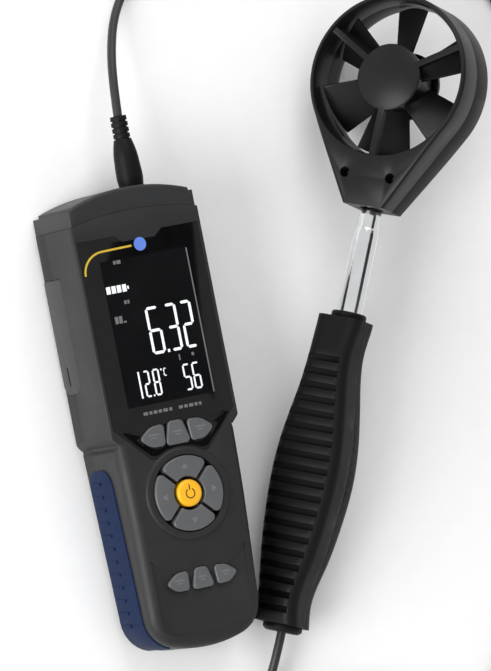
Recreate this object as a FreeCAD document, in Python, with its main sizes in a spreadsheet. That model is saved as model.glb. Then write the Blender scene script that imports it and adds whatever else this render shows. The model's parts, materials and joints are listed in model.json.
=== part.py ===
"""Handheld vane anemometer: a meter lying on its back, and its corded vane probe lying beside it.

Row frame: origin at the middle of the meter's back face, +X to the meter's right, +Y towards the
plug end, +Z out of the display. Probe parts are built in the probe's own frame, with +Y along the
mast from the butt to the head and +Z out of the vane's front, and are then placed as one.
"""

import FreeCAD
import Part

import math
import os
import re

import Sketcher

V = FreeCAD.Vector
TOP_AXIS = V(0, 0, 1)

# Driving dimensions, millimetres and degrees.
DIMENSIONS = {
    # meter case
    "case_length": 205, "case_half": 31.8, "case_height": 39.5, "split_height": 13, "case_wall": 2.5,
    "grip_half": 29.6, "side_lean": 1.54, "grip_end_height": 34.5, "slope_start": -38,
    "slope_blend": 14,
    "waist_half": 28.2, "waist_low": -11.5, "waist_high": -4.3, "corner_y": -85.6,
    "corner_bow": 15,
    "seam_side": 88.3, "seam_bow": 148, "inner_ceiling": 31.5, "display_ceiling": 34.8,
    "front_round": 5, "front_edge": 1.2, "back_round": 5, "post_outer": 3.2, "post_x": 23.2,
    "post_high": 80.5, "post_low_x": 19.6, "post_low": -82, "screw_hole": 1.15, "screw_radius": 1.1,
    # top cap
    "cap_half": 30.5, "cap_top_half": 28.7, "cap_shoulder": 95.7, "cap_top_side": 97.2,
    "cap_top_bow": 86.9, "cap_front": 39.1, "cap_back": 1.5, "cap_top_back": 4, "cap_inner": 97,
    # display
    "lens_half": 29.8, "lens_top": 81.5, "lens_chamfer": -1.5, "lens_bottom": -17.6,
    "lens_bottom_half": 13.9, "lens_depth": 2.2, "lens_gap": 0.12, "tongue_low": 78.5,
    "tongue_half": 8, "tongue_root": 11.7, "window_half": 22.2, "window_low": 6.6,
    "window_high": 71.2, "display_half": 24.2, "display_low": 5, "display_high": 73,
    # keys
    "ring_y": -34.8, "boss_radius": 20.5, "boss_top": 40.1, "ring_outer": 16.6, "ring_inner": 7.4,
    "ring_gap": 1.5, "centre_radius": 6.0, "key_gap": 0.25, "key_foot": 29.2, "key_tab": 6.6,
    "key_tab_height": 1.9, "key_row_y": -7.6, "key_row_top": 40.6, "key_ring_top": 41.1,
    "key_centre_top": 41.7, "key_low_y": -72.2, "key_low_top": 37.8, "key_low_size": 0.88, "side_key_x": 11.6,
    # electronics
    "board_half": 26, "board_low_half": 23, "board_end": 76, "board_under": 24.5,
    "board_thick": 1.6, "mat_thick": 1.4,
    "battery_width": 26.5, "battery_length": 48.5, "battery_height": 17.5, "battery_base": 3,
    "battery_foot": -84.5, "door_half": 17, "door_low": -91, "door_screw_y": -87.8, "door_high": -28,
    "door_thick": 2, "door_inset": 0.3, "door_gap": 0.2,
    # side port and side grips
    "flap_low": 17, "flap_high": 68, "flap_under": 3, "flap_over": 19.5, "flap_thick": 1.5,
    "flap_gap": 0.15, "grip_low": -99.5, "grip_high": -18, "grip_under": 5,
    "grip_over": 27, "grip_sink": 1.3, "grip_proud": 0.5, "grip_rib": 0.6, "grip_rib_pitch": 5.8, "grip_rib_count": 12,
    # plug and cord
    "socket_x": 11, "socket_z": 20.5, "plug_base": 101.3, "cord_radius": 2,
    "coil_inner": 17.6, "coil_outer": 26.4, "coil_height": 8.4, "coil_x": 72, "coil_y": -158,
    # probe placement
    "probe_x": 45.8, "probe_y": -104.05, "probe_z": 12.15, "probe_turn": 23, "probe_rise": 5.9,
    "probe_roll": 52,
    # probe handle
    "handle_waist": 9.8, "handle_neck": 10.2, "handle_swell": 6.4,
    "handle_front": 14.7, "handle_back": 8.6, "handle_back_swell": 4.2, "handle_wall": 2.2,
    "slot_first": 8.9, "slot_pitch": 6.29, "slot_count": 19, "slot_width": 2.9, "slot_deep": 2.6,
    "collar_radius": 7.9, "collar_top": 145.2,
    # mast
    "mast_radius": 6.03, "mast_wall": 0.45, "mast_step": 0.95, "mast_foot": 46, "mast_top": 184,
    "mast_foot_step": 4, "mast_mouth": 3, "mast_play": 0.07,
    # vane head
    "head_along": 251.6, "head_radius": 38.2, "bore_radius": 35.3,
    "mouth_radius": 36.3, "head_half": 13.5, "neck_half": 10.2, "neck_depth": 10.5,
    "neck_end": -58.7, "neck_slope": -28, "hub_radius": 15.3, "hub_rise": 14.2, "hub_bow": 42.87,
    "spoke_width": 2.8, "spoke_inner": 8.4,
    "spoke_outer": 11.9, "tip_radius": 34.2, "vane_hub": 13.4, "blade_thick": 1.1,
    "root_chord": 15.5, "tip_chord": 26, "root_pitch": 41, "tip_pitch": 34, "blade_count": 6,
    "shaft_radius": 1.0, "head_screw_x": 11.3, "head_screw_y": -45.2,
}

doc = FreeCAD.newDocument("vane_anemometer")
sheet = doc.addObject("Spreadsheet::Sheet", "Dims")
nodes = {}

# The case's foot: a wide arc that meets each side through a corner arc, all of them tangent.
CORNER_X = "(grip_half - (waist_low - corner_y) * tan(side_lean) - corner_bow / cos(side_lean))"
CORNER_RISE = "(corner_y + case_length / 2)"
FOOT_BOW = f"(({CORNER_X} ^ 2 + {CORNER_RISE} ^ 2 - corner_bow ^ 2) / (2 * ({CORNER_RISE} - corner_bow)))"
SEAM_GAP = "0.05"
CAP_SEAM_SIDE = (f"(seam_side + sqrt((seam_bow + {SEAM_GAP}) ^ 2 - cap_half ^ 2)"
                 " - sqrt(seam_bow ^ 2 - case_half ^ 2))")
# Where the head's round rim meets the straight side of its neck, as a tangent.
DROP_TURN = "(acos(head_radius / sqrt(neck_half ^ 2 + neck_end ^ 2)) - atan(-neck_end / neck_half))"
DROP_X = f"(head_radius * cos({DROP_TURN}))"
DROP_Y = f"(head_radius * sin({DROP_TURN}))"
NECK_SLOPE = "atan((head_half - neck_depth) / (neck_slope - neck_end))"
SLOPE = "atan((case_height - grip_end_height) / (case_length / 2 + slope_start))"


# ---------------------------------------------------------------- helpers

def fill_sheet():
    """Writes each driving dimension to the sheet as a plain number with its name as the alias."""
    for row, (name, value) in enumerate(DIMENSIONS.items(), start=1):
        sheet.set(f"A{row}", name)
        sheet.set(f"B{row}", str(value))
        sheet.setAlias(f"B{row}", name)
    doc.recompute()


def bound(text):
    """The expression with each dimension's name written as a reference to the sheet."""
    return re.sub(r"[a-z_]+", lambda m: "Dims." + m[0] if m[0] in DIMENSIONS else m[0], str(text))


def mm(text):
    """The value that an expression has now."""
    return float(sheet.evalExpression(bound(text)))


def keep(label, feature):
    """Names a finished sub-part, which is written to its own file."""
    feature.Label = label
    nodes[label] = feature
    return feature


def new_body(label, exported=True):
    body = doc.addObject("PartDesign::Body", label)
    if exported:
        keep(label, body)
    return body


def sketch_on(body, role="XY_Plane", level="0", place=None):
    """A sketch on one of the body's origin planes, moved along the plane's normal by level."""
    sketch = body.newObject("Sketcher::SketchObject", body.Name + "_sketch")
    plane = next(f for f in body.Origin.OriginFeatures if f.Role == role)
    sketch.AttachmentSupport = [(plane, "")]
    sketch.MapMode = "FlatFace"
    if place is None:
        sketch.setExpression("AttachmentOffset.Base.z", bound(level))
    else:
        sketch.AttachmentOffset = place
    return sketch


def bind(sketch, kind, geometry, position, text):
    """Ties one coordinate of a point, or a radius, to an expression."""
    if kind == "Radius":
        index = sketch.addConstraint(Sketcher.Constraint(kind, geometry, mm(text)))
    else:
        value = mm(text)
        index = sketch.addConstraint(Sketcher.Constraint(kind, -1, 1, geometry, position, value))
    sketch.setExpression(f"Constraints[{index}]", bound(text))


def bowed(sketch, start, end, radius):
    """An arc from start to end: it turns left for a positive radius and right for a negative one."""
    half = (end - start) * 0.5
    left = V(-half.y, half.x, 0).normalize()
    rise = math.sqrt(max(radius * radius - half.Length ** 2, 0))
    centre = start + half + left * (rise if radius > 0 else -rise)
    angles = [math.atan2(p.y - centre.y, p.x - centre.x) for p in (start, end)]
    if radius < 0:
        angles.reverse()
    circle = Part.Circle(centre, TOP_AXIS, abs(radius))
    geometry = sketch.addGeometry(Part.ArcOfCircle(circle, *angles))
    return (geometry, 1, 2) if radius > 0 else (geometry, 2, 1)


def outline(sketch, points):
    """A closed outline. A point is (x, y), or (x, y, radius) where an arc leads to the next point."""
    placed = [V(mm(p[0]), mm(p[1]), 0) for p in points]
    ends = []
    for i, point in enumerate(points):
        start, end = placed[i], placed[(i + 1) % len(points)]
        if len(point) == 2:
            ends.append((sketch.addGeometry(Part.LineSegment(start, end)), 1, 2))
        else:
            ends.append(bowed(sketch, start, end, mm(point[2])))
            bind(sketch, "Radius", ends[-1][0], 0, f"abs({point[2]})")
    for i, (geometry, first, _) in enumerate(ends):
        before = ends[i - 1]
        sketch.addConstraint(Sketcher.Constraint("Coincident", before[0], before[2], geometry, first))
        bind(sketch, "DistanceX", geometry, first, points[i][0])
        bind(sketch, "DistanceY", geometry, first, points[i][1])
    return sketch


def circle(sketch, x, y, radius):
    geometry = sketch.addGeometry(Part.Circle(V(mm(x), mm(y), 0), TOP_AXIS, mm(radius)))
    bind(sketch, "DistanceX", geometry, 3, x)
    bind(sketch, "DistanceY", geometry, 3, y)
    bind(sketch, "Radius", geometry, 0, radius)
    return sketch


def rectangle(sketch, x0, x1, y0, y1):
    return outline(sketch, [(x0, y0), (x1, y0), (x1, y1), (x0, y1)])


def finished(body, feature, removes=False):
    """Recomputes, and stops if a feature added or removed nothing."""
    body.Tip = feature
    doc.recompute()
    before = feature.BaseFeature.Shape.Volume if feature.BaseFeature else 0
    change = feature.Shape.Volume - before
    broken = "Invalid" in feature.State or not feature.Shape.isValid()
    if broken or abs(change) < 1e-4 or (change > 0) == removes:
        raise ValueError(f"{body.Name}: {feature.Name} changed the volume by {change:.4f}")
    return feature


def pad(body, sketch, length, reverse=False, middle=False):
    feature = body.newObject("PartDesign::Pad", body.Name + "_pad")
    feature.Profile = sketch
    feature.setExpression("Length", bound(length))
    feature.Reversed = reverse
    feature.Midplane = middle
    return finished(body, feature)


def pocket(body, sketch, length, reverse=False, middle=False):
    """Cuts against the sketch's normal, or along it when reversed."""
    feature = body.newObject("PartDesign::Pocket", body.Name + "_pocket")
    feature.Profile = sketch
    feature.setExpression("Length", bound(length))
    feature.Reversed = reverse
    feature.Midplane = middle
    return finished(body, feature, removes=True)


def turned(body, sketch, kind="Revolution"):
    """A full revolution, or groove, of the sketch about its own vertical axis."""
    feature = body.newObject("PartDesign::" + kind, body.Name + "_turned")
    feature.Profile = sketch
    feature.ReferenceAxis = (sketch, ["V_Axis"])
    feature.Angle = 360
    return finished(body, feature, removes=kind == "Groove")


def rounded(body, radius, wanted, kind="Fillet"):
    """Fillets, or chamfers, the edges whose middle point passes the test."""
    base = body.Tip
    names = []
    for number, edge in enumerate(base.Shape.Edges, start=1):
        middle = edge.valueAt((edge.FirstParameter + edge.LastParameter) / 2)
        if wanted(middle, edge):
            names.append(f"Edge{number}")
    feature = body.newObject("PartDesign::" + kind, body.Name + "_round")
    feature.Base = (base, names)
    feature.setExpression("Radius" if kind == "Fillet" else "Size", bound(radius))
    body.Tip = feature
    doc.recompute()
    if not names or "Invalid" in feature.State or not feature.Shape.isValid():
        raise ValueError(f"{body.Name}: {kind} of {len(names)} edges failed")
    return feature


def around(body, feature, count):
    """Repeats a feature evenly about the body's Z axis."""
    pattern = body.newObject("PartDesign::PolarPattern", body.Name + "_pattern")
    pattern.Originals = [feature]
    axis = next(f for f in body.Origin.OriginFeatures if f.Role == "Z_Axis")
    pattern.Axis = (axis, [""])
    pattern.Angle = 360
    pattern.setExpression("Occurrences", bound(count))
    return finished(body, pattern)


def block(label, x0, x1, y0, y1, z0, z1, exported=False):
    """A Part::Box between two corners."""
    box = doc.addObject("Part::Box", label)
    for side, axis, low, high in (("Length", "x", x0, x1), ("Width", "y", y0, y1), ("Height", "z", z0, z1)):
        box.setExpression(side, bound(f"({high}) - ({low})"))
        box.setExpression(f"Placement.Base.{axis}", bound(low))
    if exported:
        keep(label, box)
    return box


def rod(label, x, y, z, radius, height, axis=TOP_AXIS):
    """A Part::Cylinder that starts at a point and runs along an axis."""
    cylinder = doc.addObject("Part::Cylinder", label)
    cylinder.setExpression("Radius", bound(radius))
    cylinder.setExpression("Height", bound(height))
    cylinder.Placement = FreeCAD.Placement(V(0, 0, 0), FreeCAD.Rotation(TOP_AXIS, axis))
    for name, text in (("x", x), ("y", y), ("z", z)):
        cylinder.setExpression(f"Placement.Base.{name}", bound(text))
    return cylinder


def joined(label, features, kind="Part::MultiFuse", exported=True):
    """Fuses features into one solid, or groups separate solids with Part::Compound."""
    whole = doc.addObject(kind, label)
    if kind == "Part::Compound":
        whole.Links = features
    else:
        whole.Shapes = features
    if exported:
        keep(label, whole)
    return whole


def cut(label, base, tool, exported=True):
    feature = doc.addObject("Part::Cut", label)
    feature.Base = base
    feature.Tool = tool
    if exported:
        keep(label, feature)
    return feature


def common(label, first, second, exported=False):
    feature = doc.addObject("Part::MultiCommon", label)
    feature.Shapes = [first, second]
    if exported:
        keep(label, feature)
    return feature


# ---------------------------------------------------------------- meter case

def foot_points(grow):
    """Where the foot's arc meets a corner arc, and where that meets the side, moved out by grow."""
    share = f"/ ({FOOT_BOW} - corner_bow)"
    foot = (f"({FOOT_BOW} + {grow}) * {CORNER_X} {share}",
            f"{FOOT_BOW} - case_length / 2 - ({FOOT_BOW} + {grow}) * ({FOOT_BOW} - {CORNER_RISE}) {share}")
    side = (f"{CORNER_X} + (corner_bow + {grow}) * cos(side_lean)",
            f"corner_y - (corner_bow + {grow}) * sin(side_lean)")
    return foot, side


def grip_half_at(y, grow="0"):
    """The half width of the grip's side at a height, moved outwards by grow."""
    return f"(grip_half - (waist_low - ({y})) * tan(side_lean) + ({grow}) / cos(side_lean))"


def symmetric(right):
    """A closed outline from its right-hand half, listed upwards; arcs keep their turn."""
    left = []
    for i in range(len(right) - 1, -1, -1):
        bow = right[i - 1][2:] if i else ()
        left.append((f"-({right[i][0]})", right[i][1], *bow))
    return right + left


def grip_outline():
    """The lower, hand-held stretch of the case in plan."""
    foot, side = foot_points("0")
    points = symmetric([(*foot, "corner_bow"), side, (grip_half_at("waist_high - 2"), "waist_high - 2")])
    points[-1] = (*points[-1], FOOT_BOW)
    return points


def cavity_outline():
    """The case's plan moved inwards by the wall's thickness."""
    grow = "-case_wall"
    foot, side = foot_points(grow)
    points = symmetric([(*foot, f"corner_bow + {grow}"), side, (grip_half_at("waist_low", grow), "waist_low"),
                        (f"waist_half + {grow}", "waist_low + 2"), (f"waist_half + {grow}", "waist_low + 3.2"),
                        (f"case_half + {grow}", "waist_high"), (f"case_half + {grow}", "120")])
    points[-1] = (*points[-1], f"{FOOT_BOW} + {grow}")
    return points


def case_blank(body, level, height, front):
    """A solid half of the case: the grip, then the display end, then the notch at each side of the waist."""
    pad(body, outline(sketch_on(body, level=level), grip_outline()), height)
    if front:
        slope_cut(body)
    rounded(body, "front_round" if front else "back_round", in_front_rim if front else in_back_rim)
    upper = sketch_on(body, level=level)
    outline(upper, [("case_half", "waist_low + 3"), ("case_half", "seam_side", "seam_bow"),
                    ("-case_half", "seam_side"), ("-case_half", "waist_low + 3")])
    pad(body, upper, height)
    edge_level = mm(f"{level} + {height}") if front else 0.0
    rounded(body, "front_edge" if front else "back_round", lambda m, e: abs(m.z - edge_level) < 0.01 and abs(
        abs(m.x) - mm("case_half")) < 0.01)
    notches = sketch_on(body, level=f"{level} - 1")
    for sign in ("", "-"):
        outline(notches, [(f"{sign}(case_half + 5)", "waist_low"), (f"{sign}(grip_half + 0.4)", "waist_low"),
                          (f"{sign}waist_half", "waist_low + 2"), (f"{sign}waist_half", "waist_low + 3.2"),
                          (f"{sign}(case_half + 0.4)", "waist_high"), (f"{sign}(case_half + 5)", "waist_high")])
    pocket(body, notches, f"{height} + 2", reverse=True)


def slope_cut(body):
    """Slopes the grip's front face down towards the foot, with a long bend where it starts."""
    wedge = sketch_on(body, "YZ_Plane")
    outline(wedge, [("slope_start + slope_blend", "case_height", f"slope_blend / tan({SLOPE} / 2)"),
                    (f"slope_start - slope_blend * cos({SLOPE})", f"case_height - slope_blend * sin({SLOPE})"),
                    ("-case_length / 2 - 5", f"grip_end_height - 5 * tan({SLOPE})"),
                    ("-case_length / 2 - 5", "case_height + 5"),
                    ("slope_start + slope_blend", "case_height + 5")])
    pocket(body, wedge, "4 * case_half", middle=True)


def slope_place():
    """The sloping front of the grip: origin where the slope starts, local Y along the slope."""
    base = V(0, mm("slope_start"), mm("case_height"))
    return FreeCAD.Placement(base, FreeCAD.Rotation(V(1, 0, 0), mm(SLOPE)))


def lens_outline(grow):
    """The display panel: a tongue notch at the top, chamfered corners, and an arch round the boss."""
    right = [
        ("11.7", "lens_bottom - (%s)" % grow),
        (f"lens_bottom_half + 0.4 * ({grow})", f"lens_bottom - ({grow})"),
        (f"lens_half + {grow}", f"lens_chamfer - 0.4 * ({grow})"),
        (f"lens_half + {grow}", f"lens_top + {grow}"),
        (f"tongue_root - ({grow})", f"lens_top + {grow}"),
        (f"tongue_half - ({grow})", f"tongue_low + {grow}"),
    ]
    left = [(f"-({x})", y) for x, y in reversed(right)]
    left[-1] = (*left[-1], "-20.8")
    return right + left


def key_row(row):
    """The corners of a row's three keys: a drop-shaped key each side of a rounded triangular one."""
    y, size = ("key_row_y", "1") if row == "upper" else ("key_low_y", "key_low_size")

    def scaled(middle_x, corners):
        return [(f"{middle_x} + ({u}) * {size}", f"{y} + ({v}) * {size}", f"{r} * {size}")
                for u, v, r in corners]

    side = scaled("side_key_x", [(-5.2, -5, 2), (1.6, -4.9, 7), (7, -0.3, 1.8), (0.8, 4.5, 8),
                                 (-5.9, 4.9, 1.8)])
    middle = scaled("0", [(-6.3, -5.3, 2), (6.3, -5.3, 2), (3.4, 5.4, 2.4), (-3.4, 5.4, 2.4)])
    flipped = [(f"-({corner[0]})", *corner[1:]) for corner in reversed(side)]
    return {"left": flipped, "middle": middle, "right": side}


def softened(corners, grow="0"):
    """An outline with its corners (x, y, radius) rounded by tangent arcs, all moved outwards by grow."""
    points = []
    places = [V(mm(c[0]), mm(c[1]), 0) for c in corners]
    for i, (x, y, radius) in enumerate(corners):
        here, last, after = places[i], places[i - 1], places[(i + 1) % len(places)]
        back, on = (last - here).normalize(), (after - here).normalize()
        half = back.getAngle(on) / 2
        centre = (back + on).normalize() / math.sin(half)
        for side in (back, on):
            reach = side / math.tan(half)
            away = reach - centre
            points.append((f"{x} + ({reach.x:.7f}) * {radius} + ({away.x:.7f}) * ({grow})",
                           f"{y} + ({reach.y:.7f}) * {radius} + ({away.y:.7f}) * ({grow})"))
        points[-2] = (*points[-2], f"{radius} + ({grow})")
    return points


def front_cover():
    body = new_body("front_cover_shell", exported=False)
    case_blank(body, "split_height", "case_height - split_height", True)
    pocket(body, outline(sketch_on(body, level="split_height"), cavity_outline()),
           "inner_ceiling - split_height", reverse=True)
    posts = sketch_on(body, level="split_height")
    for x, y in post_places():
        circle(posts, x, y, "post_outer")
    pad(body, posts, "inner_ceiling - split_height + 1")
    bay = rectangle(sketch_on(body, level="inner_ceiling"), "-display_half - 1.5", "display_half + 1.5",
                    "display_low - 2", "display_high + 4")
    pocket(body, bay, "display_ceiling - inner_ceiling", reverse=True)
    pocket(body, outline(sketch_on(body, level="case_height"), lens_outline("lens_gap")), "lens_depth")
    pocket(body, rectangle(sketch_on(body, level="case_height"), "-window_half", "window_half",
                           "window_low", "window_high"), "2 * lens_depth + 1")
    boss = circle(sketch_on(body, level="inner_ceiling + 2"), "0", "ring_y", "boss_radius")
    pad(body, boss, "boss_top - inner_ceiling - 2")
    top = mm("boss_top")
    rounded(body, "1.2", lambda m, e: m.z > top - 0.01)
    well = circle(sketch_on(body, level="boss_top + 1"), "0", "ring_y", "ring_outer + key_gap + 0.3")
    pocket(body, well, "boss_top - inner_ceiling + 5")
    panel = sketch_on(body, place=slope_place())
    outline(panel, [("-22.4", "-53.5", "9"), ("-15", "-57.3", "90"), ("15", "-57.3", "9"), ("22.4", "-53.5"),
                    ("23.5", "-22.6", "-31"), ("-23.5", "-22.6")])
    pocket(body, panel, "0.5")
    for row in ("upper", "lower"):
        holes = sketch_on(body, level="case_height + 1")
        for corners in key_row(row).values():
            outline(holes, softened(corners, "key_gap"))
        pocket(body, holes, "case_height - inner_ceiling + 3")
    bores = sketch_on(body, level="split_height")
    for x, y in post_places():
        circle(bores, x, y, "screw_hole")
    pocket(body, bores, "12", reverse=True)
    return body


def in_front_rim(middle, edge):
    """True for the edges round the front of the grip, except the one under the display end."""
    level = abs(edge.tangentAt(edge.FirstParameter).z) < 0.3
    outside = abs(middle.x) > 15 or middle.y < -90
    return level and outside and middle.z > mm("grip_end_height") - 1


def in_back_rim(middle, _):
    """True for the edges round the back of the grip, except the one under the display end."""
    return middle.z < 0.01 and middle.y < mm("waist_high") - 2.1


def post_places():
    """Where the four case screws are."""
    return [("post_x", "post_high"), ("-post_x", "post_high"),
            ("post_low_x", "post_low"), ("-post_low_x", "post_low")]


def rear_cover():
    body = new_body("rear_cover_shell", exported=False)
    case_blank(body, "0", "split_height", False)
    pocket(body, outline(sketch_on(body, level="split_height"), cavity_outline()), "split_height - case_wall")
    walls = sketch_on(body, level="case_wall")
    rectangle(walls, "-battery_width / 2 - 2.3", "battery_width / 2 + 2.3", "door_low + 0.5", "door_high + 1")
    pad(body, walls, "split_height - case_wall - 1")
    room = sketch_on(body, level="split_height")
    rectangle(room, "-battery_width / 2 - 0.7", "battery_width / 2 + 0.7", "door_low + 6", "door_high - 1")
    pocket(body, room, "split_height + 1")
    seat = sketch_on(body)
    rectangle(seat, "-door_half", "door_half", "door_low", "door_high")
    pocket(body, seat, "door_inset + door_thick", reverse=True)
    posts = sketch_on(body, level="case_wall")
    for x, y in post_places():
        circle(posts, x, y, "post_outer")
    pad(body, posts, "split_height - case_wall")
    for radius, depth in (("screw_hole + 0.3", "split_height + 1"), ("2.3", "6")):
        holes = sketch_on(body)
        for x, y in post_places():
            circle(holes, x, y, radius)
        pocket(body, holes, depth, reverse=True)
    pilot = circle(sketch_on(body), "0", "door_screw_y", "0.9")
    pocket(body, pilot, "9", reverse=True)
    return body


def grip_blank(side, inner, outer, label):
    """The stretch of side wall between two offsets that a grip fills, cut to its rounded side view."""
    sign = "" if side == "right" else "-"
    plan = new_body(label + "_plan", exported=False)
    points = []
    for grow, upward in ((outer, True), (inner, False)):
        foot, bend = [(f"{sign}({x})", y) for x, y in foot_points(grow)]
        end = (f"{sign}{grip_half_at('grip_high', grow)}", "grip_high")
        turn = 1 if (side == "right") == upward else -1
        radius = f"{turn} * (corner_bow + {grow})"
        points += [(*foot, radius), bend, end] if upward else [end, (*bend, radius), foot]
    pad(plan, outline(sketch_on(plan, level="grip_under - 1"), points), "grip_over - grip_under + 2")
    profile = new_body(label + "_profile", exported=False)
    view = sketch_on(profile, "YZ_Plane")
    outline(view, [("grip_low - 4", "grip_under"), ("grip_high - 8", "grip_under", "8"),
                   ("grip_high", "grip_under + 8"), ("grip_high", "grip_over - 8", "8"),
                   ("grip_high - 8", "grip_over"), ("grip_low - 4", "grip_over")])
    pad(profile, view, "4 * case_half", middle=True)
    return common(label + "_blank", plan, profile)


def side_grip(side):
    """A soft grip let into the side wall across the seam, with short raised ribs towards the back."""
    blank = grip_blank(side, "-grip_sink", "grip_proud", f"side_grip_{side}")
    ribs = []
    sign = -1 if side == "left" else 1
    for i in range(int(mm("grip_rib_count"))):
        y = f"grip_high - 6 - {i} * grip_rib_pitch"
        inset = grip_half_at(y)
        inner, outer = f"{inset} - 0.6", f"{inset} + grip_proud + grip_rib"
        x0, x1 = (inner, outer) if sign > 0 else (f"-({outer})", f"-({inner})")
        ribs.append(block(f"grip_rib_{side}_{i}", x0, x1, f"{y} - 0.7", f"{y} + 0.7",
                          "grip_under + 1.5", "grip_under + 11"))
    joined(f"side_grip_{side}", [blank, *ribs])
    return grip_blank(side, "-grip_sink", "3", f"grip_recess_{side}")


def flap_shape(label, gap, outward, exported=False):
    """The port flap's rounded plate in the left wall; its hinge end is a full round."""
    body = new_body(label, exported)
    view = sketch_on(body, "YZ_Plane", "-case_half - (%s)" % outward)
    g = gap
    outline(view, [(f"flap_low + 5", f"flap_under - {g}"), (f"flap_high + {g}", f"flap_under - {g}"),
                   (f"flap_high + {g}", f"flap_over + {g}"), (f"flap_low + 5", f"flap_over + {g}", f"5 + {g}"),
                   (f"flap_low - {g}", f"flap_over - 5"), (f"flap_low - {g}", "flap_under + 5", f"5 + {g}")])
    pad(body, view, f"flap_thick + 2 * ({g}) + {outward}")
    return body


def port_flap():
    flap = flap_shape("port_cover", "0", "0", exported=True)
    end = mm("flap_high") - 0.01
    rounded(flap, "flap_thick / 2 - 0.01",
            lambda m, e: m.y > end and abs(e.tangentAt(e.FirstParameter).z) > 0.9)
    nick = sketch_on(flap, "YZ_Plane", "-case_half - 1")
    rectangle(nick, "flap_low + 3.7", "flap_low + 12.1", "flap_under + 6.2", "flap_under + 7.4")
    pocket(flap, nick, "5", reverse=True)
    return flap_shape("flap_recess", "flap_gap", "3")


def meter_case():
    """Cuts the grip recesses, the flap recess and the port windows into both covers."""
    front, rear = front_cover(), rear_cover()
    recesses = [side_grip("left"), side_grip("right"), port_flap()]
    window = block("port_window", "-case_half - 1", "-case_half + 6", "29", "63", "7", "16")
    tool = joined("case_recesses", [*recesses, window], exported=False)
    cut("front_cover", front, tool)
    cut("rear_cover", rear, tool)


def top_cap():
    body = new_body("top_cap")
    tier = sketch_on(body, level="cap_back")
    outline(tier, [("-cap_half", CAP_SEAM_SIDE, f"-(seam_bow + {SEAM_GAP})"), ("cap_half", CAP_SEAM_SIDE),
                   ("cap_half", "cap_shoulder"), ("-cap_half", "cap_shoulder")])
    pad(body, tier, "cap_front - cap_back")
    crown = sketch_on(body, level="cap_top_back")
    outline(crown, [("-cap_top_half", "cap_shoulder - 1"), ("cap_top_half", "cap_shoulder - 1"),
                    ("cap_top_half", "cap_top_side", "cap_top_bow"), ("-cap_top_half", "cap_top_side")])
    pad(body, crown, "cap_front - cap_top_back")
    front, shoulder = mm("cap_front") - 0.01, mm("cap_shoulder")
    rounded(body, "1.4", lambda m, e: m.z > front and m.y > shoulder + 3)
    hollow = sketch_on(body, level="cap_front - 3.6")
    rectangle(hollow, "-cap_top_half + 2.4", "cap_top_half - 2.4", "seam_side - 6", "cap_inner")
    pocket(body, hollow, "cap_front - 3.6 - cap_top_back - 2.4")
    hole = circle(sketch_on(body, "XZ_Plane", "-cap_inner + 1"), "socket_x", "socket_z", "6.6")
    pocket(body, hole, "12")


def display_stack():
    lens = new_body("display_lens")
    sketch = sketch_on(lens, level="case_height - lens_depth + 0.05")
    outline(sketch, lens_outline("0"))
    pad(lens, sketch, "lens_depth + 0.05")
    holes = sketch_on(lens, level="case_height + 1")
    for corners in key_row("upper").values():
        outline(holes, softened(corners, "key_gap"))
    pocket(lens, holes, "lens_depth + 3")
    glass_top = "display_ceiling - 0.1"
    block("lcd_glass", "-display_half", "display_half", "display_low", "display_high", f"{glass_top} - 2.3",
          glass_top, exported=True)
    block("lcd_backlight", "-display_half", "display_half", "display_low", "display_high", f"{glass_top} - 5",
          f"{glass_top} - 2.35", exported=True)
    frame = new_body("lcd_frame")
    ring = sketch_on(frame, level="board_under + board_thick")
    rectangle(ring, "-display_half", "display_half", "display_low", "display_high")
    rectangle(ring, "-display_half + 2.5", "display_half - 2.5", "display_low + 2.5", "display_high - 2.5")
    pad(frame, ring, "display_ceiling - 5.15 - board_under - board_thick")


# ---------------------------------------------------------------- keys

def key(label, corners, x, y, top):
    """A key with a rounded top edge and a tab above and below that holds it under the front cover."""
    body = new_body(label)
    pad(body, outline(sketch_on(body, level="key_foot"), softened(corners)), f"{top} - key_foot")
    high = mm(top) - 0.01
    rounded(body, "0.7", lambda m, e: m.z > high)
    tabs = sketch_on(body, level="key_foot")
    rectangle(tabs, f"{x} - 2.5", f"{x} + 2.5", f"{y} - key_tab", f"{y} + key_tab")
    pad(body, tabs, "key_tab_height")


def ring_key(label, quarter):
    """One of four keys round the centre key: a quarter of a ring less half a gap each side."""
    body = new_body(label)
    corners = []
    for radius, side, bow in (("ring_inner", 1, None), ("ring_outer", 1, "ring_outer"),
                              ("ring_outer", -1, None), ("ring_inner", -1, "-ring_inner")):
        angle = (quarter - side / 2) * math.pi / 2
        c, s = math.cos(angle), math.sin(angle)
        along = f"sqrt({radius} ^ 2 - (ring_gap / 2) ^ 2)"
        x = f"({c:.5f}) * {along} - ({s:.5f}) * {side} * ring_gap / 2"
        y = f"ring_y + ({s:.5f}) * {along} + ({c:.5f}) * {side} * ring_gap / 2"
        corners.append((x, y, bow) if bow else (x, y))
    pad(body, outline(sketch_on(body, level="key_foot"), corners), "key_ring_top - key_foot")
    rounded(body, "2.2", lambda m, e: abs(e.tangentAt(e.FirstParameter).z) > 0.9 and abs(
        math.hypot(m.x, m.y - mm("ring_y")) - mm("ring_outer")) < 0.1)
    high_face = mm("key_ring_top") - 0.01
    rounded(body, "0.7", lambda m, e: m.z > high_face)


def centre_key():
    body = new_body("key_centre")
    disc = circle(sketch_on(body, level="key_foot"), "0", "ring_y", "centre_radius")
    pad(body, disc, "key_centre_top - key_foot")
    high = mm("key_centre_top") - 0.01
    rounded(body, "1.3", lambda m, e: m.z > high)


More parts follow.
